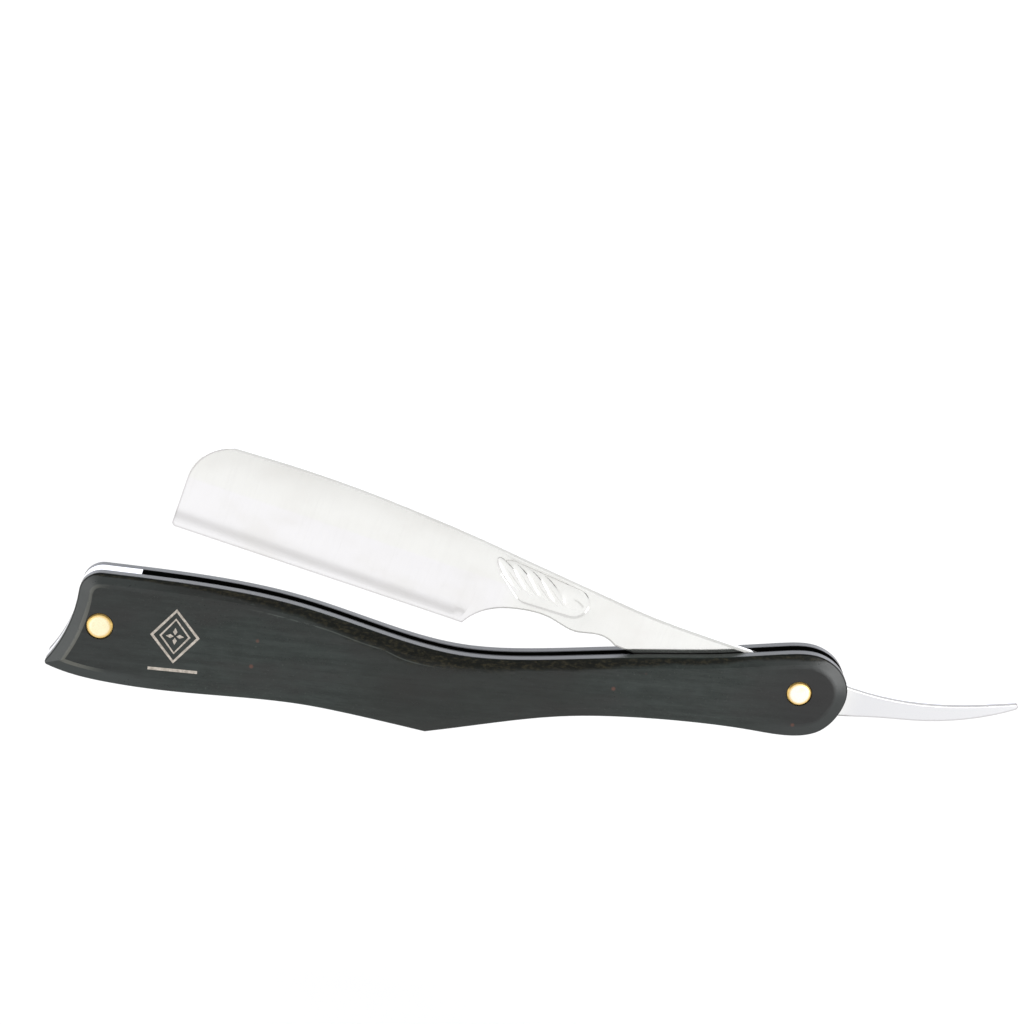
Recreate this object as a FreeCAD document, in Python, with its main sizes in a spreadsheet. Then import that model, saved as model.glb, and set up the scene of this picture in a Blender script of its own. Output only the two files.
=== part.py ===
"""Straight razor: a folding hollow-ground blade between two wooden scales.

The origin is in the middle of the back scale's flat outer face, half way between the two rivets.
+X runs from the handle's tail end to its pivot end, +Y out of that face and +Z up, towards the blade's
spine.  Each sub-part is drawn about its own rivet or the pivot and then placed in that frame.
"""

import FreeCAD, Part
import Sketcher
import math
import os

from FreeCAD import Placement, Rotation, Vector

DIMENSIONS = {
    # handle
    "rivet_spacing": 136.4,
    "frame_drop": 7.0,
    "handle_thickness": 8.2,
    "tail_gap": 2.8,
    "pivot_gap": 2.4,
    "middle_gap": 2.0,
    "bevel_width": 2.4,
    "bevel_depth": 0.65,
    "edge_rounding": 0.35,
    "bevel_rounding": 3.0,
    "corner_rounding": 4.3,
    "bow_start": 14.0,
    "bow_end": 126.0,
    "spacer_face": 129.3,
    # rivets
    "pivot_head_diameter": 5.0,
    "tail_head_diameter": 5.3,
    "head_seat_depth": 1.2,
    "head_proud": 0.25,
    "head_edge": 0.35,
    "head_crown": 0.06,
    "head_flat_share": 0.62,
    "sleeve_diameter": 3.0,
    "pin_diameter": 1.9,
    "pin_clearance": 0.01,
    "scale_hole_clearance": 0.02,
    "head_clearance": 0.04,
    "sleeve_end_gap": 0.2,
    "bore_wall": 0.6,
    "pin_end_gap": 0.2,
    # washers
    "washer_diameter": 8.0,
    "washer_thickness": 0.2,
    "washer_clearance": 0.1,
    # blade
    "opening_angle": 13.7,
    "edge_drop": 9.5,
    "blade_width": 19.7,
    "spine_thickness": 4.5,
    "wedge_at_edge": 0.24,
    "tang_thickness": 1.92,
    "tang_tip_thickness": 1.6,
    "pivot_hole_clearance": 0.04,
    "grind_height": 10.7,
    "grind_belly_height": 1.0,
    "grind_belly_thickness": 0.14,
    "grind_end": 59.0,
    "grind_end_rounding": 10.0,
    "blade_reach": 125.8,
    "blade_start": 66.5,
    "spine_edge_break": 0.45,
    "thumb_recess_depth": 0.18,
    "thumb_recess_wall_slope": 55.0,
    "scoop_depth": 0.44,
}

SHEET = "Dimensions"
CELL = "<<" + SHEET + ">>."


def make_sheet(doc):
    """Put every driving dimension in a spreadsheet, one row each, with its name as the alias."""
    sheet = doc.addObject("Spreadsheet::Sheet", SHEET)
    for row, (name, value) in enumerate(DIMENSIONS.items(), start=1):
        sheet.set("A%d" % row, name)
        sheet.set("B%d" % row, str(value))
        sheet.setAlias("B%d" % row, name)
    doc.recompute()
    return sheet


def make_body(doc, label):
    body = doc.addObject("PartDesign::Body", label)
    body.Label = label
    return body


def make_sketch(body, name, role, offset=None):
    """Attach a new sketch to one of the body's origin planes, moved along its normal by a formula."""
    sketch = body.newObject("Sketcher::SketchObject", name)
    plane = next(item for item in body.Origin.OriginFeatures if item.Role == role)
    sketch.AttachmentSupport = (plane, [""])
    sketch.MapMode = "FlatFace"
    if offset:
        sketch.setExpression("AttachmentOffset.Base.z", offset)
    return sketch


def add_circle(sketch, centre_x, diameter):
    """Draw a circle on the sketch's x axis, with its place and size bound to formulas."""
    index = sketch.addGeometry(Part.Circle(Vector(-1, 0, 0), Vector(0, 0, 1), 1))
    size = sketch.addConstraint(Sketcher.Constraint("Diameter", index, 2.0))
    sketch.setExpression("Constraints[%d]" % size, diameter)
    if centre_x:
        sketch.addConstraint(Sketcher.Constraint("PointOnObject", index, 3, -1))
        place = sketch.addConstraint(Sketcher.Constraint("DistanceX", index, 3, -1, 1, 1.0))
        sketch.setExpression("Constraints[%d]" % place, centre_x)
    else:
        sketch.addConstraint(Sketcher.Constraint("Coincident", index, 3, -1, 1))


def add_lines(sketch, points):
    for start, end in zip(points, points[1:]):
        sketch.addGeometry(Part.LineSegment(Vector(*start, 0), Vector(*end, 0)))


def add_arc(sketch, start, middle, end):
    sketch.addGeometry(Part.Arc(Vector(*start, 0), Vector(*middle, 0), Vector(*end, 0)))


def add_polygon(sketch, corners):
    add_lines(sketch, corners + corners[:1])


def add_spline(sketch, points):
    curve = Part.BSplineCurve()
    curve.interpolate([Vector(x, y, 0) for x, y in points])
    sketch.addGeometry(curve)


def pad(body, sketch, length, symmetric=False, reverse=False):
    feature = body.newObject("PartDesign::Pad", sketch.Name + "_pad")
    feature.Profile = (sketch, [""])
    feature.setExpression("Length", length)
    feature.SideType = "Symmetric" if symmetric else "One side"
    feature.Reversed = reverse
    body.Document.recompute()
    return feature


def pocket(body, sketch, length=None, reverse=False):
    """Cut a sketch to a depth, or right through both ways when no depth is given."""
    before = body.Shape.Volume
    least_change = 1e-6
    feature = body.newObject("PartDesign::Pocket", sketch.Name + "_pocket")
    feature.Profile = (sketch, [""])
    if length:
        feature.setExpression("Length", length)
        feature.Reversed = reverse
    else:
        feature.Type = "ThroughAll"
        feature.SideType = "Symmetric"
    body.Document.recompute()
    if abs(body.Shape.Volume - before) < least_change:
        raise RuntimeError(sketch.Name + " cut nothing")


def edges_where(shape, test):
    """Names of the edges whose every sampled point passes the test."""
    names = []
    for number, edge in enumerate(shape.Edges, start=1):
        points = edge.discretize(Number=9)
        if all(test(point) for point in points):
            names.append("Edge%d" % number)
    return names


def dress(body, kind, names, **sizes):
    """Fillet or chamfer the named edges of the body's last feature; each size is a dimension's name."""
    if not names:
        raise RuntimeError(body.Label + " has no edges to dress")
    base = body.Tip
    feature = body.newObject("PartDesign::" + kind, body.Name + "_" + kind.lower())
    feature.Base = (base, names)
    if "Size2" in sizes:
        feature.ChamferType = "Two distances"
    for size_property, size in sizes.items():
        feature.setExpression(size_property, CELL + size)
    body.Document.recompute()
    if not body.Shape.isValid():
        raise RuntimeError(body.Label + " is broken by its " + kind.lower())


# ---------------------------------------------------------------- handle

# Outline of the handle in X and Z: the fishtail end, the belly, the waist, the pivot end and the top.
TOP_CORNER = (-140.8, 10.75)
FISHTAIL_HOLLOW = (-142.2, 0.2)
FISHTAIL = (-147.0, -8.85)
BELLY = (-71.9, -15.65)
TAIL_UNDERSIDE = [(-142.0, -10.5), (-134.3, -11.7), (-118.0, -12.35), (-96.0, -12.5), (-86.0, -13.6)]
WAIST = [(-61.2, -13.1), (-45.7, -9.8), (-33.0, -8.6), (-20.0, -8.35)]
PIVOT_END = [(-8.0, -8.85), (-0.5, -9.2), (5.1, -7.7), (8.7, -3.2), (9.5, 0.9), (7.7, 5.0), (3.3, 7.7)]
TOP_EDGE = [
    (-3.6, 7.6), (-16.1, 5.65), (-30.5, 4.15), (-51.0, 1.55), (-66.6, 0.9),
    (-82.5, 3.85), (-98.4, 7.75), (-114.0, 9.75), (-128.6, 10.45),
]

# What is cut off the sharp tip of the fishtail: an arc, and corners that run clear outside the outline.
TIP_ARC = [(-145.98, -9.22), (-146.48, -8.69), (-146.35, -7.99)]
TIP_CLEAR = [(-147.85, -6.85), (-151.0, -9.4), (-146.5, -10.8)]


def draw_handle_outline(sketch):
    """One closed outline, shared by both scales and the spacer."""
    add_arc(sketch, TOP_CORNER, FISHTAIL_HOLLOW, FISHTAIL)
    add_spline(sketch, [FISHTAIL] + TAIL_UNDERSIDE + [BELLY])
    add_spline(sketch, [BELLY] + WAIST + PIVOT_END + TOP_EDGE + [TOP_CORNER])


def round_top_corner(body):
    """Round the outline's top corner at the tail, an edge that runs across the handle's thickness."""
    x, z = TOP_CORNER
    names = edges_where(body.Shape, lambda p: math.hypot(p.x - x, p.z - z) < 0.01)
    dress(body, "Fillet", names, Radius="corner_rounding")


def bevel_outer_edge(body, sheet):
    """Slope the outer face down all round its border, then round both edges of the slope."""
    outer = sheet.handle_thickness / 2
    border = outer - sheet.bevel_depth
    names = edges_where(body.Shape, lambda p: abs(abs(p.y) - outer) < 0.001)
    dress(body, "Chamfer", names, Size="bevel_depth", Size2="bevel_width")
    names = edges_where(body.Shape, lambda p: abs(abs(p.y) - border) < 0.003)
    dress(body, "Fillet", names, Radius="edge_rounding")
    names = edges_where(body.Shape, lambda p: abs(abs(p.y) - outer) < 0.001)
    dress(body, "Fillet", names, Radius="bevel_rounding")


def round_tip(body, name):
    """Take the sharp corner off the fishtail's tip, right through the thickness."""
    sketch = make_sketch(body, name, "XZ_Plane")
    start, middle, end = TIP_ARC
    add_arc(sketch, start, middle, end)
    add_lines(sketch, [end] + TIP_CLEAR + [start])
    pocket(body, sketch)


def draw_inner_face(sketch, sheet):
    """Area between the handle's middle plane and the scale's inner face.

    The inner face is flat at both ends and bows towards the blade between them.
    """
    at_tail = sheet.tail_gap / 2
    at_pivot = sheet.pivot_gap / 2
    middle = sheet.middle_gap / 2
    past_end = 20.0
    beyond_tail = -sheet.rivet_spacing - past_end
    centre = -(sheet.bow_start + sheet.bow_end) / 2
    corners = [
        (-sheet.bow_end, at_tail), (beyond_tail, at_tail), (beyond_tail, 0),
        (past_end, 0), (past_end, at_pivot), (-sheet.bow_start, at_pivot),
    ]
    add_lines(sketch, corners)
    add_arc(sketch, corners[-1], (centre, middle), corners[0])


def make_scale(doc, sheet, label, front):
    """One wooden scale: bevelled outside, bowed inside, with seats for the two rivet heads."""
    sign = 1 if front else -1
    body = make_body(doc, label)
    outline = make_sketch(body, label + "_outline", "XZ_Plane")
    draw_handle_outline(outline)
    pad(body, outline, CELL + "handle_thickness / 2", reverse=not front)
    round_top_corner(body)
    bevel_outer_edge(body, sheet)
    round_tip(body, label + "_tip")

    inner = make_sketch(body, label + "_inner_face", "XY_Plane")
    draw_inner_face(inner, sheet)
    if front:
        inner.AttachmentOffset = Placement(Vector(0, 0, 0), Rotation(Vector(1, 0, 0), 180))
    pocket(body, inner)

    for name, place, head in (
        ("pivot", None, "pivot_head_diameter"), ("tail", CELL + "rivet_spacing", "tail_head_diameter"),
    ):
        hole = make_sketch(body, label + "_" + name + "_hole", "XZ_Plane")
        add_circle(hole, place, CELL + "sleeve_diameter + 2 * " + CELL + "scale_hole_clearance")
        pocket(body, hole)
        face = "%d * %shandle_thickness / 2" % (sign, CELL)
        seat = make_sketch(body, label + "_" + name + "_seat", "XZ_Plane", face)
        add_circle(seat, place, CELL + head + " + 2 * " + CELL + "head_clearance")
        pocket(body, seat, CELL + "head_seat_depth", reverse=not front)
    return body


def make_spacer(doc, sheet):
    """Metal spacer that follows the outline at the tail and ends in a flat face."""
    body = make_body(doc, "tail_spacer")
    outline = make_sketch(body, "spacer_outline", "XZ_Plane")
    draw_handle_outline(outline)
    pad(body, outline, CELL + "tail_gap", symmetric=True)
    round_top_corner(body)
    round_tip(body, "spacer_tip")

    rest = make_sketch(body, "spacer_rest", "XZ_Plane")
    face = -sheet.spacer_face
    past_end = 20.0
    add_polygon(rest, [(face, -past_end), (past_end, -past_end), (past_end, past_end), (face, past_end)])
    pocket(body, rest)

    hole = make_sketch(body, "spacer_hole", "XZ_Plane")
    add_circle(hole, CELL + "rivet_spacing",
               CELL + "sleeve_diameter + 2 * " + CELL + "scale_hole_clearance")
    pocket(body, hole)
    return body


# ---------------------------------------------------------------- rivets and washers


def revolve_about_y(body, sketch):
    feature = body.newObject("PartDesign::Revolution", sketch.Name + "_turned")
    feature.Profile = (sketch, [""])
    feature.ReferenceAxis = (sketch, ["V_Axis"])
    feature.Angle = 360
    body.Document.recompute()
    return feature


def head_profile(sheet, radius, side):
    """Half section of a rivet head from its rim to the middle of its face, on one side (-1 or 1)."""
    seat = sheet.handle_thickness / 2 - sheet.head_seat_depth
    face = sheet.handle_thickness / 2 + sheet.head_proud
    edge = sheet.head_edge
    shoulder = face - sheet.head_crown
    return [
        (radius, side * seat), (radius, side * (shoulder - edge)), (radius - edge, side * shoulder),
        (radius * sheet.head_flat_share, side * face), (0, side * face),
    ]


def make_rivet_pin(doc, sheet, label, head):
    """Front half of a rivet: a head and a solid pin."""
    body = make_body(doc, label)
    section = make_sketch(body, label + "_section", "XY_Plane")
    radius = getattr(sheet, head) / 2
    pin = sheet.pin_diameter / 2 - sheet.pin_clearance
    seat = sheet.handle_thickness / 2 - sheet.head_seat_depth
    end = seat - sheet.bore_wall - sheet.pin_end_gap
    add_polygon(section, head_profile(sheet, radius, -1) + [(0, end), (pin, end), (pin, -seat)])
    revolve_about_y(body, section)
    return body


def make_rivet_sleeve(doc, sheet, label, head):
    """Back half of a rivet: a head and a hollow shank that takes the pin."""
    body = make_body(doc, label)
    section = make_sketch(body, label + "_section", "XY_Plane")
    radius = getattr(sheet, head) / 2
    bore = sheet.pin_diameter / 2
    shank = sheet.sleeve_diameter / 2
    seat = sheet.handle_thickness / 2 - sheet.head_seat_depth
    mouth = sheet.sleeve_end_gap - seat
    floor = seat - sheet.bore_wall
    inside = [(0, floor), (bore, floor), (bore, mouth), (shank, mouth), (shank, seat)]
    add_polygon(section, head_profile(sheet, radius, 1) + inside)
    revolve_about_y(body, section)
    return body


def make_washer(doc, label):
    """Thin washer about Y, rising from the XZ plane towards +Y."""
    disc = doc.addObject("Part::Cylinder", label + "_disc")
    disc.setExpression("Radius", CELL + "washer_diameter / 2")
    hole = doc.addObject("Part::Cylinder", label + "_hole")
    hole.setExpression("Radius", CELL + "sleeve_diameter / 2 + " + CELL + "washer_clearance")
    for cylinder in (disc, hole):
        cylinder.setExpression("Height", CELL + "washer_thickness")
    washer = doc.addObject("Part::Cut", label)
    washer.Base = disc
    washer.Tool = hole
    washer.Label = label
    washer.Placement = Placement(Vector(0, 0, 0), Rotation(Vector(1, 0, 0), -90))
    return washer


# ---------------------------------------------------------------- blade

# Outline of the blade with its edge level: U runs along the edge and V towards the spine,
# both from the pivot.  The spine side, from beyond the point to beyond the tail's tip:
SPINE = [
    (-131.0, 9.5), (-117.0, 9.85), (-108.0, 10.15), (-98.0, 10.2), (-88.0, 9.85), (-77.6, 9.15),
    (-68.5, 8.35), (-60.0, 7.35), (-52.0, 6.4), (-44.0, 5.5), (-33.0, 4.3), (-20.0, 3.9), (-8.0, 3.9),
    (3.0, 3.75), (10.3, 3.55), (20.0, 4.25), (30.1, 6.7), (41.9, 11.3), (51.0, 15.0),
]
# The tail's rounded tip, its underside and the pivot eye, back to the small lobe under the shank:
TAIL_TIP = [(41.9, 11.3), (42.55, 10.8), (42.3, 10.1)]
TAIL_AND_EYE = [
    (42.3, 10.1), (35.6, 5.85), (26.1, 1.85), (16.2, -0.8), (8.0, -3.2), (-2.0, -4.4), (-15.0, -4.5),
    (-28.0, -4.2), (-37.0, -3.75),
]
# The lobe, the hollow in front of it and the curve down to the heel:
SHANK_UNDERSIDE = [
    (-37.0, -3.75), (-41.6, -2.85), (-45.2, -3.65), (-50.6, -2.65), (-56.5, -2.85), (-61.9, -4.65),
    (-66.5, -9.5),
]
POINT_RADIUS = 9.0
POINT_CENTRE_HEIGHT = 1.05
TOE_RADIUS = 0.8

# Where the wedge-shaped blade ends and where the flat tang starts.
SHOULDER = -64.0
SHANK_END = -24.0
TAIL_REACH = 42.0

# Levels of the blank's lower and upper faces before the outline is cut.
BLANK_LOW = -9.7
BLANK_HIGH = 12.5

# The blank's cross sections, evenly spaced from beyond the point to beyond the tail.
FIRST_SECTION = -130.0
SECTION_STEP = 10.0
SECTION_COUNT = 19

# Outline of the thumb recess: top, round end, underside, low corner, slanted end and high corner.
RECESS_TOP = [(-61.43, 6.19), (-47.3, 4.85)]
RECESS_ROUND_END = [(-47.3, 4.85), (-44.65, 1.87), (-47.5, -1.0)]
RECESS_UNDERSIDE = [(-47.5, -1.0), (-56.45, -1.24)]
RECESS_LOW_CORNER = [(-56.45, -1.24), (-57.58, -1.07), (-58.58, -0.51)]
RECESS_SLANTED_END = [(-58.58, -0.51), (-62.77, 2.92)]
RECESS_HIGH_CORNER = [(-62.77, 2.92), (-63.31, 5.05), (-61.43, 6.19)]
RECESS_MIDDLE = (-54.0, 2.6)

# The scoops in its floor: place along U, place along V, half length, half width and lean.
FIRST_SCOOP = (-60.1, 2.45, 4.7, 1.25, 39.0)
SCOOP_COUNT = 4
SCOOP_STEP = (2.95, -0.2)
WIDE_SCOOP = (-47.5, 1.9, 3.3, 2.3, 39.0)


def draw_blade_outline(sketch, sheet):
    """Closed outline: the straight edge, the toe, the round point, the tail and the underside.

    It runs clear above the spine, which is cut on its own.
    """
    edge = -sheet.edge_drop
    reach = -sheet.blade_reach
    diagonal = 1 - math.sqrt(0.5)
    toe = TOE_RADIUS
    toe_middle = (reach + toe * diagonal, edge + toe * diagonal)
    add_lines(sketch, [(-sheet.blade_start, edge), (reach + toe, edge)])
    add_arc(sketch, (reach + toe, edge), toe_middle, (reach, edge + toe))
    add_lines(sketch, [(reach, edge + toe), (reach, POINT_CENTRE_HEIGHT)])
    top = (reach + POINT_RADIUS, POINT_CENTRE_HEIGHT + POINT_RADIUS)
    middle = (reach + POINT_RADIUS * diagonal, top[1] - POINT_RADIUS * diagonal)
    add_arc(sketch, (reach, POINT_CENTRE_HEIGHT), middle, top)
    clear = BLANK_HIGH + 2.0
    add_lines(sketch, [top, (top[0], clear), (TAIL_TIP[0][0], clear), TAIL_TIP[0]])
    add_arc(sketch, *TAIL_TIP)
    add_spline(sketch, TAIL_AND_EYE)
    add_spline(sketch, SHANK_UNDERSIDE)


def cut_spine(body):
    """Cut the blank down to the line of the spine and round the two long edges."""
    above = make_sketch(body, "above_spine", "XZ_Plane")
    clear = 20.0
    add_spline(above, SPINE)
    add_lines(above, [SPINE[-1], (SPINE[-1][0], clear), (SPINE[0][0], clear), SPINE[0]])
    pocket(body, above)
    off_middle = 0.7
    lowest = 3.0
    names = edges_where(body.Shape, lambda p: abs(p.y) > off_middle and p.z > lowest)
    dress(body, "Fillet", names, Radius="spine_edge_break")


def add_section(body, name, place, low_width, high_width):
    """Cross section of the uncut blank: a trapezium standing at one place along the blade."""
    sketch = make_sketch(body, name, "YZ_Plane")
    sketch.AttachmentOffset = Placement(Vector(0, 0, place), Rotation())
    corners = [
        (-low_width / 2, BLANK_LOW), (low_width / 2, BLANK_LOW),
        (high_width / 2, BLANK_HIGH), (-high_width / 2, BLANK_HIGH),
    ]
    add_polygon(sketch, corners)
    return sketch


def blank_widths(sheet, along):
    """Thickness of the blank at its lowest and highest level, at one place along the blade."""
    slope = (sheet.spine_thickness - sheet.wedge_at_edge) / sheet.blade_width
    low = sheet.wedge_at_edge + (BLANK_LOW + sheet.edge_drop) * slope
    high = sheet.wedge_at_edge + (BLANK_HIGH + sheet.edge_drop) * slope
    share = min(max((SHANK_END - along) / (SHANK_END - SHOULDER), 0.0), 1.0)
    wedge = share * share * (3 - 2 * share)
    thinning = (sheet.tang_thickness - sheet.tang_tip_thickness) * max(along, 0.0) / TAIL_REACH
    tang = sheet.tang_thickness - thinning
    return tang + wedge * (low - tang), tang + wedge * (high - tang)


def make_blank(doc, sheet):
    """Forged blank: wedge-shaped at the blade, thinning through the shank to a flat tang."""
    body = make_body(doc, "blade_blank")
    sections = []
    for number in range(SECTION_COUNT):
        along = FIRST_SECTION + SECTION_STEP * number
        low, high = blank_widths(sheet, along)
        sections.append(add_section(body, "section_%d" % number, along, low, high))
    loft = body.newObject("PartDesign::AdditiveLoft", "blank_loft")
    loft.Profile = (sections[0], [""])
    loft.Sections = [(section, [""]) for section in sections[1:]]
    doc.recompute()

    cut_spine(body)
    around = make_sketch(body, "blade_outline", "XZ_Plane")
    past = 200.0
    add_polygon(around, [(-past, -past), (past, -past), (past, past), (-past, past)])
    draw_blade_outline(around, sheet)
    pocket(body, around)
    return body


def grind_hollow(body, sheet):
    """Hollow both sides with a round-shouldered wheel whose axis is parallel to the edge."""
    height = sheet.grind_height - sheet.grind_belly_height
    at_line = (sheet.wedge_at_edge
               + sheet.grind_height * (sheet.spine_thickness - sheet.wedge_at_edge) / sheet.blade_width)
    half = sheet.grind_belly_thickness / 2
    wheel = height ** 2 / (2 * (at_line / 2 - half))
    rounding = sheet.grind_end_rounding
    end = -sheet.grind_end
    overrun = 10.0
    start = -sheet.blade_reach - overrun
    axis = half + wheel

    level = "%sgrind_belly_height - %sedge_drop" % (CELL, CELL)
    sketch = make_sketch(body, "wheel_section", "XY_Plane", level)
    corner = rounding * (1 - math.sqrt(0.5))
    flat_side = [(end, half + rounding), (end, axis), (start, axis), (start, half), (end - rounding, half)]
    add_lines(sketch, flat_side)
    add_arc(sketch, (end - rounding, half), (end - corner, half + corner), (end, half + rounding))
    sketch.addGeometry(Part.LineSegment(Vector(start, axis, 0), Vector(end, axis, 0)), True)
    before = body.Shape.Volume
    groove = body.newObject("PartDesign::Groove", "hollow_grind")
    groove.Profile = (sketch, [""])
    groove.ReferenceAxis = (sketch, ["Axis0"])
    groove.Angle = 360
    body.Document.recompute()
    if not body.Shape.Volume < before:
        raise RuntimeError("the grinding wheel cut nothing")
    mirror = body.newObject("PartDesign::Mirrored", "both_hollows")
    mirror.Originals = [groove]
    mirror.MirrorPlane = (next(f for f in body.Origin.OriginFeatures if f.Role == "XZ_Plane"), [""])
    body.Tip = mirror
    body.Document.recompute()


def half_thickness(sheet, along, height):
    """Half the blank's thickness at one place along the blade and one height."""
    low, high = blank_widths(sheet, along)
    return (low + (high - low) * (height - BLANK_LOW) / (BLANK_HIGH - BLANK_LOW)) / 2


def thumb_floor(doc, sheet):
    """Cutting shape of the recess itself on the -Y side, its floor parallel to the blade's side."""
    outline = doc.addObject("Sketcher::SketchObject", "thumb_recess_outline")
    for line in (RECESS_TOP, RECESS_UNDERSIDE, RECESS_SLANTED_END):
        add_lines(outline, line)
    for arc in (RECESS_ROUND_END, RECESS_LOW_CORNER, RECESS_HIGH_CORNER):
        add_arc(outline, *arc)
    along, height = RECESS_MIDDLE
    middle = half_thickness(sheet, along, height)
    reach = 1.0
    slope_along = half_thickness(sheet, along + reach, height) - middle
    slope_up = half_thickness(sheet, along, height + reach) - middle
    outward = Vector(-slope_along, -reach, -slope_up)
    turn = Rotation(Vector(1, 0, 0), Vector(0, 0, 1), outward, "ZXY")
    centre = Vector(along, -(middle - sheet.thumb_recess_depth), height)
    outline.Placement = Placement(centre - turn.multVec(Vector(along, height, 0)), turn)
    floor = doc.addObject("Part::Extrusion", "thumb_recess_floor")
    floor.Base = outline
    floor.DirMode = "Normal"
    floor.Solid = True
    floor.setExpression("LengthFwd", "2 * %sthumb_recess_depth" % CELL)
    floor.setExpression("TaperAngle", CELL + "thumb_recess_wall_slope")
    doc.recompute()
    return floor


def thumb_recess(doc, sheet):
    """Cutting shape of the thumb recess: a flat-floored hollow with slanted scoops, on both sides."""
    hollow = [WIDE_SCOOP]
    for step in range(SCOOP_COUNT):
        along = FIRST_SCOOP[0] + step * SCOOP_STEP[0]
        height = FIRST_SCOOP[1] + step * SCOOP_STEP[1]
        hollow.append((along, height) + FIRST_SCOOP[2:])
    bulge = 1.0
    depth = sheet.scoop_depth
    swell = 1 / math.sqrt(1 - (1 - depth / bulge) ** 2)
    tools = [thumb_floor(doc, sheet)]
    for along, height, half_length, half_width, lean in hollow:
        scoop = doc.addObject("Part::Ellipsoid", "thumb_scoop")
        scoop.Radius1 = half_width * swell
        scoop.Radius2 = half_length * swell
        scoop.Radius3 = bulge
        out = half_thickness(sheet, along, height) + bulge - depth
        scoop.Placement = Placement(Vector(along, -out, height), Rotation(Vector(0, 1, 0), lean))
        tools.append(scoop)
    near = doc.addObject("Part::MultiFuse", "thumb_recess_near")
    near.Shapes = tools
    far = doc.addObject("Part::Mirroring", "thumb_recess_far")
    far.Source = near
    far.Normal = Vector(0, 1, 0)
    both = doc.addObject("Part::Compound", "thumb_recess")
    both.Links = [near, far]
    doc.recompute()
    return both


def make_blade(doc, sheet):
    """The finished blade, turned to its opening angle about the pivot."""
    body = make_blank(doc, sheet)
    hole = make_sketch(body, "pivot_eye", "XZ_Plane")
    add_circle(hole, None, CELL + "sleeve_diameter + 2 * " + CELL + "pivot_hole_clearance")
    pocket(body, hole)
    grind_hollow(body, sheet)
    blade = doc.addObject("Part::Cut", "blade")
    blade.Base = body
    blade.Tool = thumb_recess(doc, sheet)
    blade.Label = "blade"
    blade.Placement = Placement(Vector(0, 0, 0), Rotation(Vector(0, 1, 0), sheet.opening_angle))
    doc.recompute()
    return blade


def locate(part, along="", across=""):
    """Place a sub-part in the frame: a formula's distance along X and Y from the pivot's middle."""
    part.setExpression("Placement.Base.x", "%srivet_spacing / 2%s" % (CELL, along))
    part.setExpression("Placement.Base.y", "-%shandle_thickness / 2%s" % (CELL, across))
    part.setExpression("Placement.Base.z", CELL + "frame_drop")


def build():
    doc = FreeCAD.newDocument("straight_razor")
    sheet = make_sheet(doc)
    at_pivot = [
        make_blade(doc, sheet),
        make_scale(doc, sheet, "front_scale", True),
        make_scale(doc, sheet, "back_scale", False),
        make_spacer(doc, sheet),
        make_rivet_pin(doc, sheet, "pivot_rivet_pin", "pivot_head_diameter"),
        make_rivet_sleeve(doc, sheet, "pivot_rivet_sleeve", "pivot_head_diameter"),
    ]
    at_tail = [
        make_rivet_pin(doc, sheet, "tail_rivet_pin", "tail_head_diameter"),
        make_rivet_sleeve(doc, sheet, "tail_rivet_sleeve", "tail_head_diameter"),
    ]
    front_washer = make_washer(doc, "front_pivot_washer")
    back_washer = make_washer(doc, "back_pivot_washer")

    for part in at_pivot:
        locate(part)
    for part in at_tail:
        locate(part, along=" - %srivet_spacing" % CELL)
    locate(front_washer, across=" - %spivot_gap / 2" % CELL)
    locate(back_washer, across=" + %spivot_gap / 2 - %swasher_thickness" % (CELL, CELL))
    doc.recompute()
    return doc, at_pivot + at_tail + [front_washer, back_washer]


def check_and_write(doc, parts):
    """Stop on any failed object or bad shape, then write one file per sub-part."""
    for item in doc.Objects:
        if "Invalid" in item.State or "Error" in item.State:
            raise RuntimeError("%s failed: %s" % (item.Label, item.State))
    for part in parts:
        shape = part.Shape
        if shape.isNull() or not shape.isValid() or len(shape.Solids) != 1:
            raise RuntimeError(part.Label + " is not one valid solid")
    os.makedirs("parts", exist_ok=True)
    for part in parts:
        part.Shape.exportStep("parts/%s.step" % part.Label)


document, sub_parts = build()
check_and_write(document, sub_parts)
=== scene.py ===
"""Straight razor: looks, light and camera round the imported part."""

import math

import bpy
from mathutils import Matrix, Vector


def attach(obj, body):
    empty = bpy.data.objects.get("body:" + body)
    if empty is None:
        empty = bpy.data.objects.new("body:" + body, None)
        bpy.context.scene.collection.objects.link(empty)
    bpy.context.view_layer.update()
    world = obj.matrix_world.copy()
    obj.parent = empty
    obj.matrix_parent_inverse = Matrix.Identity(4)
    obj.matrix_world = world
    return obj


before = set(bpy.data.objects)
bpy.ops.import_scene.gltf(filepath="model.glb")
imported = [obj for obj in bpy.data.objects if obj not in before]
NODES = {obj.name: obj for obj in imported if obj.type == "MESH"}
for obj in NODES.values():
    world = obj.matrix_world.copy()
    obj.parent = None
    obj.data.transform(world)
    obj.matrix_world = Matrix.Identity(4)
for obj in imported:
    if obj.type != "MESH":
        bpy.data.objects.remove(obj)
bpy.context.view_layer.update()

MM = 0.001

# The part, in millimetres. PIVOT is the middle of the pivot rivet; the materials measure from it.
OPENING_ANGLE = math.radians(13.7)
HALF_THICKNESS = 4.1
PIVOT = Vector((68.2, -HALF_THICKNESS, 7.0))
RIVET_SPACING = 136.4
PIVOT_HEAD_RADIUS = 2.5
TAIL_HEAD_RADIUS = 2.65
WASHER_RADIUS = 4.0

WHITE = (1.0, 1.0, 1.0, 1.0)


# ---------------------------------------------------------------- node graph helpers


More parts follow.
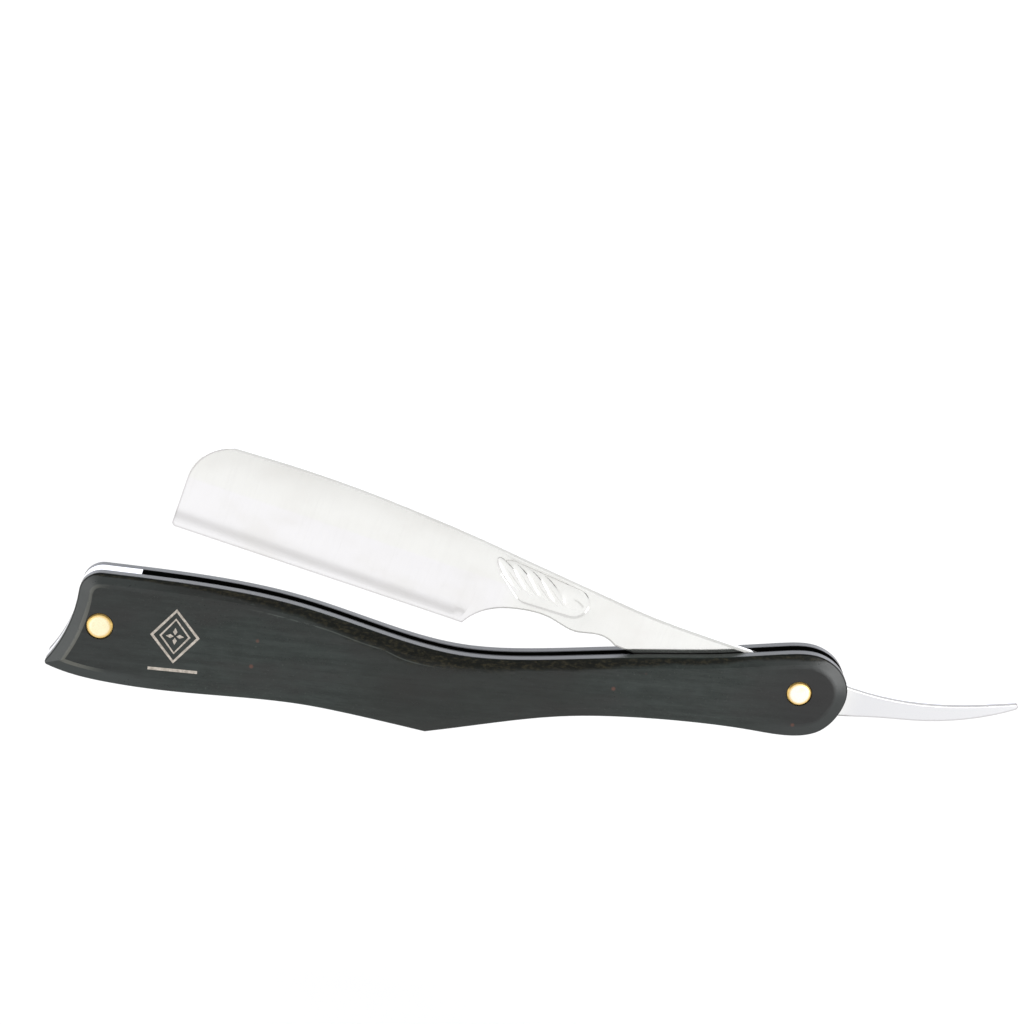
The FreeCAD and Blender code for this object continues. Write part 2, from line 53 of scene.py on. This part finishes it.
class Graph:
    """The node tree of a material or of the world, with short calls to add and join its nodes."""

    def __init__(self, owner):
        owner.use_nodes = True
        self.owner = owner
        self.tree = owner.node_tree
        self.tree.nodes.clear()

    def add(self, kind, **values):
        """Add a node; keys with a capital set its inputs and the others its settings."""
        node = self.tree.nodes.new("ShaderNode" + kind)
        for key, value in values.items():
            if key[0].isupper():
                self.feed(node.inputs[key.replace("_", " ")], value)
            else:
                setattr(node, key, value)
        return node

    def feed(self, socket, value):
        """Join a node's output to the socket, or set the socket to a plain value."""
        if isinstance(value, bpy.types.NodeSocket):
            self.tree.links.new(value, socket)
        else:
            socket.default_value = value

    def math(self, operation, first, second=0.0):
        node = self.add("Math", operation=operation)
        self.feed(node.inputs[0], first)
        self.feed(node.inputs[1], second)
        return node.outputs[0]

    def product(self, *masks):
        """Where all the masks are 1."""
        share = masks[0]
        for mask in masks[1:]:
            share = self.math("MULTIPLY", share, mask)
        return share

    def ramp(self, value, start, full):
        """0 at start, 1 at full and smooth between; full may be the lower of the two."""
        node = self.add("MapRange", clamp=True, Value=value)
        node.interpolation_type = "SMOOTHSTEP"
        node.inputs["From Min"].default_value = start
        node.inputs["From Max"].default_value = full
        return node.outputs["Result"]

    def between(self, value, low, high):
        """A share of 0 to 1, stretched to run from low to high."""
        node = self.add("MapRange", clamp=True, Value=value)
        node.inputs["To Min"].default_value = low
        node.inputs["To Max"].default_value = high
        return node.outputs["Result"]

    def mix(self, share, first, second):
        """The first colour where share is 0 and the second where it is 1."""
        node = self.add("Mix", data_type="RGBA")
        self.feed(node.inputs["Factor"], share)
        sockets = [s for s in node.inputs if s.type == "RGBA"]
        self.feed(sockets[0], first)
        self.feed(sockets[1], second)
        return next(s for s in node.outputs if s.type == "RGBA")

    def tint(self, colour, over, mask, strength):
        """The colour with some of another one over it where the mask is 1."""
        return self.mix(self.math("MULTIPLY", mask, strength), colour, over)

    def place(self, turn=0.0, scale=(1.0, 1.0, 1.0)):
        """Coordinates in millimetres from the pivot's middle, turned about Y and then stretched."""
        coords = self.add("TexCoord")
        middle = self.add("VectorMath", operation="MULTIPLY_ADD")
        self.feed(middle.inputs[0], coords.outputs["Object"])
        middle.inputs[1].default_value = (1 / MM, 1 / MM, 1 / MM)
        middle.inputs[2].default_value = -PIVOT
        turned = self.add("Mapping", vector_type="POINT", Vector=middle.outputs["Vector"])
        turned.inputs["Rotation"].default_value = (0.0, turn, 0.0)
        stretch = self.add("VectorMath", operation="MULTIPLY")
        self.feed(stretch.inputs[0], turned.outputs["Vector"])
        stretch.inputs[1].default_value = scale
        return stretch.outputs["Vector"]

    def parts(self, turn=0.0):
        """The three coordinates of place() on their own."""
        split = self.add("SeparateXYZ", Vector=self.place(turn))
        return split.outputs["X"], split.outputs["Y"], split.outputs["Z"]

    def facing(self, axis):
        """How far the surface faces along one axis of the frame, from -1 to 1."""
        normal = self.add("NewGeometry").outputs["Normal"]
        return self.add("SeparateXYZ", Vector=normal).outputs[axis]

    def curve(self, value, points):
        """A smooth line through the given points, as a function of value."""
        low, high = points[0][0], points[-1][0]
        bottom = min(p[1] for p in points)
        top = max(p[1] for p in points)
        share = self.add("MapRange", clamp=True, Value=value)
        share.inputs["From Min"].default_value = low
        share.inputs["From Max"].default_value = high
        node = self.add("FloatCurve", Value=share.outputs["Result"])
        line = node.mapping.curves[0]
        scaled = [((x - low) / (high - low), (y - bottom) / (top - bottom)) for x, y in points]
        line.points[0].location = scaled[0]
        line.points[1].location = scaled[-1]
        for place in scaled[1:-1]:
            line.points.new(*place)
        node.mapping.update()
        height = self.math("MULTIPLY", node.outputs["Value"], top - bottom)
        return self.math("ADD", height, bottom)

    def noise(self, vector, detail=4.0, roughness=0.55):
        node = self.add("TexNoise", Vector=vector, Scale=1.0, Detail=detail, Roughness=roughness)
        return node.outputs["Fac"]

    def bump(self, height, depth):
        node = self.add("Bump", Height=height, Distance=depth, Strength=1.0)
        return node.outputs["Normal"]

    def edges(self, radius, sharp, flat):
        """1 along the sharp edges and 0 away from them, and how far the rounded edge faces up."""
        rounded = self.add("Bevel", samples=4, Radius=radius)
        surface = self.add("NewGeometry")
        along = self.add("VectorMath", operation="DOT_PRODUCT")
        self.feed(along.inputs[0], rounded.outputs["Normal"])
        self.feed(along.inputs[1], surface.outputs["Normal"])
        turned = self.add("SeparateXYZ", Vector=rounded.outputs["Normal"])
        return self.ramp(along.outputs["Value"], flat, sharp), turned.outputs["Z"]

    def finish(self, shader, kind="OutputMaterial"):
        """Send the shader's output to the tree's own output, and give back the material or world."""
        self.feed(self.add(kind).inputs["Surface"], shader.outputs[0])
        return self.owner

    def surface(self, **values):
        return self.finish(self.add("BsdfPrincipled", **values))


def material_graph(name):
    return Graph(bpy.data.materials.new(name))


def rgb(red, green, blue):
    """A colour given on the 0 to 255 scale of a screen, as the renderer wants it."""
    def linear(value):
        share = value / 255
        return share / 12.92 if share <= 0.04045 else ((share + 0.055) / 1.055) ** 2.4
    return (linear(red), linear(green), linear(blue), 1.0)


# ---------------------------------------------------------------- wood

# The handle's top edge, and how far below it the dark olive band of the front face reaches; the band is a
# painted reflection.
TOP_EDGE = [
    (-148.0, 10.5), (-128.6, 10.45), (-114.0, 9.75), (-98.4, 7.75), (-82.5, 3.85), (-66.6, 0.9),
    (-51.0, 1.55), (-30.5, 4.15), (-16.1, 5.65), (-3.6, 7.6), (10.0, 7.7),
]
BORDER_DEPTH = [
    (-148.0, 0.5), (-125.0, 0.7), (-110.0, 1.3), (-97.0, 2.0), (-80.0, 3.1), (-66.0, 2.7), (-52.0, 2.0),
    (-36.0, 1.7), (-18.0, 1.3), (10.0, 0.8),
]
BORDER_RAGGED = (0.45, 1.65)
BORDER_FADE = (1.2, 0.6)

# A thin, broken painted highlight line runs along the border at this depth, with this half width.
HIGHLIGHT_LINE_DEPTH = 2.85
HIGHLIGHT_LINE_HALF_WIDTH = (0.2, 0.05)

# Distances from the middle plane: where the front face's looks start, and where the painted shade of the
# inner faces does.
FRONT_ZONE = (-HALF_THICKNESS + 0.9, -HALF_THICKNESS + 0.5)
SHADED_INNER_ZONE = (1.7, 1.3)

# Stretches along the handle, each from where a tone starts to where it is full: the line, the bevels and the
# shoulder are painted highlights, the ends and the waist painted shade.
HIGHLIGHT_LINE_FROM_TAIL = (-110.0, -102.0)
HIGHLIGHT_LINE_FROM_PIVOT = (-66.0, -78.0)
SHADE_PIVOT_END = (-16.0, 4.0)
SHADE_TAIL_END = (-116.0, -136.0)
SHADE_WAIST_FROM_TAIL = (-94.0, -78.0)
SHADE_WAIST_FROM_PIVOT = (-34.0, -48.0)
HIGHLIT_PIVOT_BEVEL = (-10.0, 2.0)
HIGHLIT_TAIL_BEVEL = (-118.0, -132.0)
HIGHLIT_SHOULDER = (-134.0, -141.0)

# How squarely the wood faces front: the bevel's slope, and the rounding where it meets the face.
BEVEL_OUT_OF_FACE = (0.9995, 0.985)
BEVEL_OUT_OF_EDGE = (0.90, 0.94)
SHOULDER_OUT_OF_FACE = (0.9999, 0.997)
SHOULDER_OUT_OF_BEVEL = (0.975, 0.99)


def painted_border_reflection(g, x, y, z, ragged):
    """Masks of the dark painted reflection under the front face's top edge, and of the thin painted highlight
    line along it.
    """
    below = g.math("SUBTRACT", g.curve(x, TOP_EDGE), z)
    reach = g.math("MULTIPLY", g.curve(x, BORDER_DEPTH), g.between(ragged, *BORDER_RAGGED))
    border_reflection = g.product(g.ramp(g.math("DIVIDE", below, reach), *BORDER_FADE), g.ramp(y, *FRONT_ZONE))
    off_line = g.math("ABSOLUTE", g.math("SUBTRACT", below, HIGHLIGHT_LINE_DEPTH))
    line = g.product(g.ramp(off_line, *HIGHLIGHT_LINE_HALF_WIDTH), g.ramp(ragged, 0.4, 0.55),
                     g.ramp(x, *HIGHLIGHT_LINE_FROM_TAIL), g.ramp(x, *HIGHLIGHT_LINE_FROM_PIVOT))
    return border_reflection, line


def bevel_highlights(g, x):
    """Masks of the painted highlight on the bevel at both ends, and of the painted highlight on the rounding
    on its inner side.
    """
    squareness = g.math("ABSOLUTE", g.facing("Y"))
    at_ends = g.math("MAXIMUM", g.ramp(x, *HIGHLIT_PIVOT_BEVEL), g.ramp(x, *HIGHLIT_TAIL_BEVEL))
    bevel_highlight = g.product(g.ramp(squareness, *BEVEL_OUT_OF_FACE), g.ramp(squareness, *BEVEL_OUT_OF_EDGE), at_ends)
    shoulder_highlight = g.product(g.ramp(squareness, *SHOULDER_OUT_OF_FACE),
                         g.ramp(squareness, *SHOULDER_OUT_OF_BEVEL), g.ramp(x, *HIGHLIT_SHOULDER))
    return bevel_highlight, shoulder_highlight


def reddish_flecks(g):
    """A mask of small round flecks in a few cells of an even scatter."""
    cells = g.add("TexVoronoi", Vector=g.place(), Scale=0.17)
    pick = g.add("SeparateColor", Color=cells.outputs["Color"]).outputs[0]
    return g.product(g.ramp(cells.outputs["Distance"], 0.10, 0.03), g.ramp(pick, 0.72, 0.78))


def dark_wood():
    """Near-black wood: grain along the handle, pores, a painted olive reflection along the top border with a
    painted highlight line, painted highlights on the bevels, and painted shade at the ends, the waist and the
    inner faces.
    """
    g = material_graph("dark_wood")
    x, y, z = g.parts()
    streaks = g.noise(g.place(scale=(0.05, 0.8, 0.8)), detail=6.0, roughness=0.62)
    pores = g.noise(g.place(scale=(0.3, 3.4, 3.4)), detail=3.0, roughness=0.7)
    cloud = g.noise(g.place(scale=(0.05, 0.12, 0.12)), detail=3.0)
    speckle = g.noise(g.place(scale=(2.2, 2.2, 2.2)), detail=2.0, roughness=0.6)
    mottle = g.noise(g.place(scale=(0.9, 1.9, 1.9)), detail=5.0, roughness=0.7)
    ragged = g.noise(g.place(scale=(0.22, 0.5, 0.5)), detail=6.0, roughness=0.7)
    grain = g.math("ADD", g.math("MULTIPLY", streaks, 0.55), g.math("MULTIPLY", ragged, 0.45))

    inner = g.ramp(g.math("ABSOLUTE", y), *SHADED_INNER_ZONE)
    border_reflection, line = painted_border_reflection(g, x, y, z, ragged)
    bevel_highlight, shoulder_highlight = bevel_highlights(g, x)
    tail_end_shade = g.math("MULTIPLY", g.ramp(x, *SHADE_TAIL_END), 0.55)
    shaded_ends = g.math("MAXIMUM", g.ramp(x, *SHADE_PIVOT_END), tail_end_shade)
    waist_shade = g.product(g.ramp(x, *SHADE_WAIST_FROM_TAIL), g.ramp(x, *SHADE_WAIST_FROM_PIVOT))

    colour = g.mix(g.ramp(grain, 0.36, 0.64), rgb(19, 29, 25), rgb(40, 48, 45))
    colour = g.tint(colour, rgb(30, 28, 27), g.ramp(cloud, 0.42, 0.66), 0.6)
    colour = g.tint(colour, rgb(8, 10, 9), g.ramp(pores, 0.54, 0.72), 0.6)
    colour = g.tint(colour, rgb(70, 76, 72), g.ramp(speckle, 0.6, 0.74), 0.35)
    # Painted shade: both ends of the handle darker, the tail end less so.
    colour = g.tint(colour, rgb(14, 11, 12), shaded_ends, 0.75)
    # Painted shade: the middle of the handle darker.
    colour = g.tint(colour, rgb(16, 16, 11), waist_shade, 0.5)
    # Painted highlights: the bevels at the ends lighter, and a pale line where the bevel meets the face.
    colour = g.tint(colour, rgb(54, 59, 58), bevel_highlight, 0.55)
    colour = g.tint(colour, rgb(104, 104, 96), shoulder_highlight, 0.6)
    # Painted reflection: the dark olive band under the front face's top edge.
    olive_reflection = g.mix(g.ramp(mottle, 0.44, 0.7), rgb(9, 11, 6), rgb(50, 46, 31))
    colour = g.tint(colour, olive_reflection, border_reflection, 0.92)
    # Painted highlight: the thin pale line along the border.
    colour = g.tint(colour, rgb(84, 90, 86), line, 0.45)
    colour = g.tint(colour, rgb(104, 62, 48), reddish_flecks(g), 0.6)
    # Painted shade: the inner faces, where the scales face each other, go near black.
    colour = g.mix(inner, colour, rgb(7, 7, 5))

    shine = g.product(g.between(border_reflection, 0.42, 0.2), g.between(inner, 1.0, 0.1))
    roughness = g.between(g.math("ADD", grain, g.math("MULTIPLY", speckle, 0.5)), 0.14, 0.36)
    height = g.math("SUBTRACT", g.math("MULTIPLY", streaks, 0.6), g.ramp(pores, 0.55, 0.75))
    height = g.math("ADD", height, g.math("MULTIPLY", speckle, 0.25))
    return g.surface(Base_Color=colour, Roughness=roughness, Normal=g.bump(height, 0.006 * MM),
                     Specular_IOR_Level=shine)


# ---------------------------------------------------------------- metals

# Along the blade from the pivot and up from it, in millimetres, in the blade's own directions.
HOLLOW_TOP = (1.6, 0.8)
HOLLOW_END = (-57.0, -63.0)
SHADED_TANG_START = (6.0, 14.0)
RECESS_CENTRE = (-54.0, 2.6)
RECESS_HALF_LENGTH = (10.8, 9.6)
RECESS_HALF_HEIGHT = (4.3, 3.8)
# Where the painted shade, the dark handle reflected, runs under the shank.
SHANK_START = (-67.0, -60.0)
SHANK_UNDERSIDE = (-1.6, -2.2)
SHANK_SLOPE = 0.01

# Bevel radius and turn of the mask for the painted dark reflection lines along the blade's sharp edges.
STEEL_EDGE_RADIUS = 0.6 * MM
STEEL_EDGE_TURN = (0.9, 0.998)


def blade_steel():
    """Polished steel: fine lines, soft clouds, painted dark reflections along the sharp edges and under the
    shank, and satin where it faces up.
    """
    g = material_graph("blade_steel")
    turn = -OPENING_ANGLE
    lines = g.noise(g.place(turn, (4.0, 0.4, 0.07)), detail=3.0, roughness=0.7)
    smear = g.noise(g.place(turn, (0.05, 0.05, 0.22)), detail=3.0)
    cloud = g.noise(g.place(turn, (0.07, 0.07, 0.12)), detail=4.0)
    along, _, height = g.parts(turn)

    hollow = g.product(g.ramp(height, *HOLLOW_TOP), g.ramp(along, *HOLLOW_END))
    colour = g.mix(hollow, rgb(239, 239, 236), rgb(240, 239, 240))
    colour = g.tint(colour, rgb(228, 226, 222), g.ramp(cloud, 0.42, 0.7), 0.4)
    colour = g.tint(colour, rgb(222, 221, 219), g.ramp(lines, 0.45, 0.8), 0.25)
    # Painted shade: the tang past the pivot greyer.
    colour = g.mix(g.ramp(along, *SHADED_TANG_START), colour, rgb(222, 222, 224))

    dark_edge_reflection, up = g.edges(STEEL_EDGE_RADIUS, *STEEL_EDGE_TURN)
    from_middle = g.math("ABSOLUTE", g.math("SUBTRACT", along, RECESS_CENTRE[0]))
    above_middle = g.math("ABSOLUTE", g.math("SUBTRACT", height, RECESS_CENTRE[1]))
    recess = g.product(g.ramp(from_middle, *RECESS_HALF_LENGTH), g.ramp(above_middle, *RECESS_HALF_HEIGHT))
    dark_edge_reflection = g.product(dark_edge_reflection, g.between(recess, 1.0, 0.3))
    # Painted reflection: dark lines along the sharp edges, fainter in the thumb recess.
    colour = g.tint(colour, rgb(150, 143, 144), dark_edge_reflection, 0.8)
    level = g.math("ADD", height, g.math("MULTIPLY", along, SHANK_SLOPE))
    shank_underside_shade = g.product(g.ramp(up, -0.02, -0.2), g.ramp(along, *SHANK_START), g.ramp(level, *SHANK_UNDERSIDE))
    # Painted shade: a dark brown line under the shank, the handle reflected there.
    colour = g.mix(g.product(dark_edge_reflection, shank_underside_shade), colour, rgb(52, 44, 38))

    upward = g.facing("Z")
    satin = g.product(g.ramp(upward, 0.05, 0.2), g.ramp(upward, 0.985, 0.93))
    roughness = g.between(g.math("ADD", smear, g.math("MULTIPLY", lines, 0.3)), 0.05, 0.16)
    return g.surface(Base_Color=colour, Metallic=g.between(satin, 1.0, 0.28), Roughness=roughness,
                     Normal=g.bump(lines, 0.00012 * MM))


def satin_metal():
    """Brushed silver metal for the spacer, with its lines along the handle."""
    g = material_graph("satin_metal")
    lines = g.noise(g.place(scale=(0.3, 4.2, 4.2)), detail=3.0, roughness=0.7)
    cloud = g.noise(g.place(scale=(0.2, 0.2, 0.2)), detail=4.0)
    colour = g.mix(g.ramp(cloud, 0.35, 0.7), rgb(240, 240, 243), rgb(224, 223, 225))
    return g.surface(Base_Color=colour, Metallic=1.0, Roughness=g.between(lines, 0.22, 0.42),
                     Normal=g.bump(lines, 0.002 * MM))


def brass(name, centre_x, radius, face, rim):
    """Brass that is paler in the middle of the head's face and golden at its rim."""
    g = material_graph(name)
    x, _, z = g.parts()
    along = g.math("SUBTRACT", x, centre_x)
    squares = g.math("ADD", g.math("MULTIPLY", along, along), g.math("MULTIPLY", z, z))
    out = g.math("DIVIDE", g.math("SQRT", squares), radius)
    scratches = g.noise(g.place(scale=(3.0, 3.0, 0.6)), detail=4.0, roughness=0.7)
    cloud = g.noise(g.place(scale=(0.7, 0.7, 0.7)), detail=3.0)
    colour = g.mix(g.ramp(out, 0.62, 0.86), face, rim)
    colour = g.tint(colour, rim, g.ramp(cloud, 0.45, 0.75), 0.2)
    roughness = g.between(g.math("ADD", scratches, g.math("MULTIPLY", cloud, 0.4)), 0.12, 0.32)
    return g.surface(Base_Color=colour, Metallic=1.0, Roughness=roughness,
                     Normal=g.bump(scratches, 0.0008 * MM))


def engraving():
    """The pale, slightly uneven colour of a mark burnt into the wood."""
    g = material_graph("engraving")
    burn = g.noise(g.place(scale=(1.5, 1.5, 1.5)), detail=4.0, roughness=0.7)
    lines = g.noise(g.place(scale=(0.2, 0.2, 5.0)), detail=2.0)
    colour = g.mix(g.ramp(burn, 0.35, 0.7), rgb(196, 187, 176), rgb(150, 142, 132))
    return g.surface(Base_Color=colour, Roughness=g.between(burn, 0.55, 0.85),
                     Normal=g.bump(g.math("ADD", burn, lines), 0.008 * MM))


def set_material(obj, material):
    obj.data.materials.clear()
    obj.data.materials.append(material)


def paint_frame():
    """Give every node of the frame its material."""
    wood = dark_wood()
    steel = blade_steel()
    spacer = satin_metal()
    pale = rgb(254, 247, 230)
    cream = rgb(250, 238, 202)
    gold = rgb(226, 190, 116)
    pivot = brass("pivot_brass", 0.0, PIVOT_HEAD_RADIUS, pale, gold)
    tail = brass("tail_brass", -RIVET_SPACING, TAIL_HEAD_RADIUS, cream, gold)
    washer = brass("washer_brass", 0.0, WASHER_RADIUS, gold, gold)
    finishes = {
        "blade": (steel, "blade_steel"),
        "front_scale": (wood, "scale_wood"),
        "back_scale": (wood, "scale_wood"),
        "tail_spacer": (spacer, "spacer_metal"),
        "pivot_rivet_pin": (pivot, "rivet_brass"),
        "pivot_rivet_sleeve": (pivot, "rivet_brass"),
        "tail_rivet_pin": (tail, "rivet_brass"),
        "tail_rivet_sleeve": (tail, "rivet_brass"),
        "front_pivot_washer": (washer, "washer_brass"),
        "back_pivot_washer": (washer, "washer_brass"),
    }
    for name, (material, slot) in finishes.items():
        set_material(NODES[name], material)


# ---------------------------------------------------------------- ornament

# The mark's middle from the pivot, and its shapes in X and Z from that middle, in millimetres.
MARK_CENTRE = (-121.8, -0.6)
MARK_PROUD = 0.012
OUTER_LOZENGE = (4.8, 5.6, 0.66)
INNER_LOZENGE = (3.0, 3.7, 0.44)
LEAF = [(0.0, 0.25), (-0.42, 0.9), (0.0, 1.75), (0.42, 0.9)]
LEAF_COUNT = 4
RULE_TOP = -6.7
RULE_BOTTOM = -7.3


def lozenge(half_width, half_height):
    return [(0.0, half_height), (-half_width, 0.0), (0.0, -half_height), (half_width, 0.0)]


def pulled_in(corners, width):
    """The corners of a convex outline, each moved towards its middle by the width."""
    inner = []
    for x, z in corners:
        reach = math.hypot(x, z)
        share = (reach - width) / reach
        inner.append((x * share, z * share))
    return inner


def turned(corners, angle):
    cosine, sine = math.cos(angle), math.sin(angle)
    return [(x * cosine - z * sine, x * sine + z * cosine) for x, z in corners]


def add_ornament(material):
    """Plain engraved mark on the front scale: two nested lozenges, four leaves and a short rule."""
    vertices, faces = [], []

    def place(corners):
        first = len(vertices)
        for x, z in corners:
            spot = Vector((x + MARK_CENTRE[0], -HALF_THICKNESS - MARK_PROUD, z + MARK_CENTRE[1]))
            vertices.append((spot + PIVOT) * MM)
        return first

    def plate(corners):
        first = place(corners)
        faces.append(tuple(range(first, first + len(corners))))

    for half_width, half_height, line_width in (OUTER_LOZENGE, INNER_LOZENGE):
        outer = lozenge(half_width, half_height)
        count = len(outer)
        first = place(outer + pulled_in(outer, line_width))
        for step in range(count):
            following = (step + 1) % count
            faces.append((first + step, first + following, first + count + following, first + count + step))
    for leaf in range(LEAF_COUNT):
        plate(turned(LEAF, leaf * 2 * math.pi / LEAF_COUNT))
    half = OUTER_LOZENGE[0]
    plate([(-half, RULE_TOP), (-half, RULE_BOTTOM), (half, RULE_BOTTOM), (half, RULE_TOP)])

    mesh = bpy.data.meshes.new("engraved_ornament")
    mesh.from_pydata(vertices, [], faces)
    mesh.materials.append(material)
    mark = bpy.data.objects.new("engraved_ornament", mesh)
    bpy.context.scene.collection.objects.link(mark)
    thicken = mark.modifiers.new("thickness", "SOLIDIFY")
    thicken.thickness = 2 * MARK_PROUD * MM
    thicken.offset = 0.0
    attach(mark, "handle")


# ---------------------------------------------------------------- light, floor and camera

# Brightness that reflections find: low in front, behind the razor, and high up all round.
FRONT_LEVEL = 1.0
BACKDROP_LEVEL = 1.75
DARK_LEVEL = 0.28
BACKDROP_TINT = (0.96, 0.98, 1.06, 1.0)
WORLD_STRENGTH = 1.15

# Upward parts of a direction over which each level fades to the dark one, and front turns to back.
FRONT_FADE = (0.02, 0.15)
BACKDROP_FADE = (0.42, 0.8)
FRONT_TO_BACK = (-0.2, 0.3)

FLOOR_LEVEL = -53.0 * MM
FLOOR_HALF_WIDTH = 4.0

# The grey card lies just above the floor in front. Its fades are shares of its depth and width.
CARD_CENTRE = Vector((-34.0, -171.0, -52.0)) * MM
CARD_SIZE = (0.16, 0.057)
CARD_TURN = math.radians(22.0)
CARD_STRENGTH = 0.42
CARD_NEAR_FADE = (0.70, 0.24)
CARD_FAR_FADE = (0.02, 0.18)
CARD_LEFT_FADE = (0.0, 0.2)
CARD_RIGHT_FADE = (1.0, 0.8)

# Name, place, target and size in metres, and power in watts.
SOFTBOXES = [
    ("right_softbox", (0.184, -0.176, 0.0245), (0.075, -0.008, 0.007), (0.12, 0.13), 0.25),
    ("left_softbox", (-0.165, -0.142, 0.004), (-0.078, -0.008, 0.0), (0.10, 0.11), 0.075),
]

CAMERA_AZIMUTH = math.radians(-3.0)
CAMERA_ELEVATION = math.radians(17.5)
CAMERA_ROLL = math.radians(6.584)
CAMERA_DISTANCE = 547 * MM
CAMERA_TARGET = (Vector((-59.61, 0.0, 29.93)) + PIVOT) * MM
CAMERA_LENS = 100.0
CAMERA_SENSOR = 36.0


def add_world():
    """White studio; reflections see a bright backdrop behind and a dark room in front and above."""
    world = bpy.data.worlds.new("studio")
    bpy.context.scene.world = world
    g = Graph(world)
    split = g.add("SeparateXYZ", Vector=g.add("TexCoord").outputs["Generated"])
    front = g.between(g.ramp(split.outputs["Z"], *FRONT_FADE), FRONT_LEVEL, DARK_LEVEL)
    behind = g.between(g.ramp(split.outputs["Z"], *BACKDROP_FADE), BACKDROP_LEVEL, DARK_LEVEL)
    back_share = g.ramp(split.outputs["Y"], *FRONT_TO_BACK)
    front_share = g.math("SUBTRACT", 1.0, back_share)
    room = g.math("ADD", g.math("MULTIPLY", back_share, behind), g.math("MULTIPLY", front_share, front))
    glossy = g.add("LightPath").outputs["Is Glossy Ray"]
    level = g.math("ADD", g.math("MULTIPLY", glossy, room), g.math("SUBTRACT", 1.0, glossy))
    colour = g.mix(glossy, WHITE, g.mix(back_share, WHITE, BACKDROP_TINT))
    strength = g.math("MULTIPLY", level, WORLD_STRENGTH)
    g.finish(g.add("Background", Color=colour, Strength=strength), "OutputWorld")


def add_floor():
    """Plain pale floor below the razor."""
    g = material_graph("pale_floor")
    cloud = g.noise(g.place(scale=(3.0, 3.0, 3.0)), detail=3.0)
    material = g.surface(Base_Color=g.mix(cloud, rgb(252, 252, 252), rgb(249, 249, 250)), Roughness=0.9)
    half = FLOOR_HALF_WIDTH
    mesh = bpy.data.meshes.new("floor")
    corners = [(-half, -half), (half, -half), (half, half), (-half, half)]
    mesh.from_pydata([(x, y, FLOOR_LEVEL) for x, y in corners], [], [(0, 1, 2, 3)])
    mesh.materials.append(material)
    floor = bpy.data.objects.new("floor", mesh)
    bpy.context.scene.collection.objects.link(floor)


def add_grey_card():
    """Card that only reflections see: it makes the soft dark band near the blade's edge."""
    g = material_graph("grey_card")
    split = g.add("SeparateXYZ", Vector=g.add("TexCoord").outputs["Generated"])
    depth, width = split.outputs["Y"], split.outputs["X"]
    share = g.product(g.ramp(depth, *CARD_NEAR_FADE), g.ramp(depth, *CARD_FAR_FADE),
                      g.ramp(width, *CARD_LEFT_FADE), g.ramp(width, *CARD_RIGHT_FADE))
    clear = g.add("BsdfTransparent")
    grey = g.add("BsdfDiffuse", Color=rgb(84, 76, 64))
    blend = g.add("MixShader")
    g.feed(blend.inputs[0], g.math("MULTIPLY", share, CARD_STRENGTH))
    g.feed(blend.inputs[1], clear.outputs[0])
    g.feed(blend.inputs[2], grey.outputs[0])
    material = g.finish(blend)

    mesh = bpy.data.meshes.new("grey_card")
    x, y = CARD_SIZE[0] / 2, CARD_SIZE[1] / 2
    mesh.from_pydata([(-x, -y, 0), (x, -y, 0), (x, y, 0), (-x, y, 0)], [], [(0, 1, 2, 3)])
    mesh.materials.append(material)
    card = bpy.data.objects.new("grey_card", mesh)
    card.location = CARD_CENTRE
    card.rotation_euler = (0.0, 0.0, CARD_TURN)
    card.visible_camera = False
    card.visible_diffuse = False
    card.visible_shadow = False
    bpy.context.scene.collection.objects.link(card)


def add_softbox(name, place, target, size, power):
    """Area light that reflections see, and that lights no matt surface."""
    data = bpy.data.lights.new(name, "AREA")
    data.shape = "RECTANGLE"
    data.size, data.size_y = size
    data.energy = power
    light = bpy.data.objects.new(name, data)
    light.location = place
    light.rotation_mode = "QUATERNION"
    light.rotation_quaternion = (Vector(target) - Vector(place)).to_track_quat("-Z", "Y")
    light.visible_camera = False
    light.visible_diffuse = False
    bpy.context.scene.collection.objects.link(light)


def add_camera():
    """Long lens from slightly left and above, rolled so that the handle slopes down to the right."""
    level = math.cos(CAMERA_ELEVATION)
    back = Vector((math.sin(CAMERA_AZIMUTH) * level, -math.cos(CAMERA_AZIMUTH) * level,
                   math.sin(CAMERA_ELEVATION)))
    right = (-back).cross(Vector((0, 0, 1))).normalized()
    up = right.cross(-back)
    rolled_right = math.cos(CAMERA_ROLL) * right + math.sin(CAMERA_ROLL) * up
    rolled_up = math.cos(CAMERA_ROLL) * up - math.sin(CAMERA_ROLL) * right
    data = bpy.data.cameras.new("camera")
    data.lens = CAMERA_LENS
    data.sensor_width = CAMERA_SENSOR
    data.clip_start = 0.01
    camera = bpy.data.objects.new("camera", data)
    bpy.context.scene.collection.objects.link(camera)
    turn = Matrix((rolled_right, rolled_up, back)).transposed()
    camera.matrix_world = Matrix.Translation(CAMERA_TARGET + back * CAMERA_DISTANCE) @ turn.to_4x4()
    bpy.context.scene.camera = camera


paint_frame()
add_ornament(engraving())
add_world()
add_floor()
add_grey_card()
for softbox in SOFTBOXES:
    add_softbox(*softbox)
add_camera()
bpy.context.scene.view_settings.view_transform = "Standard"
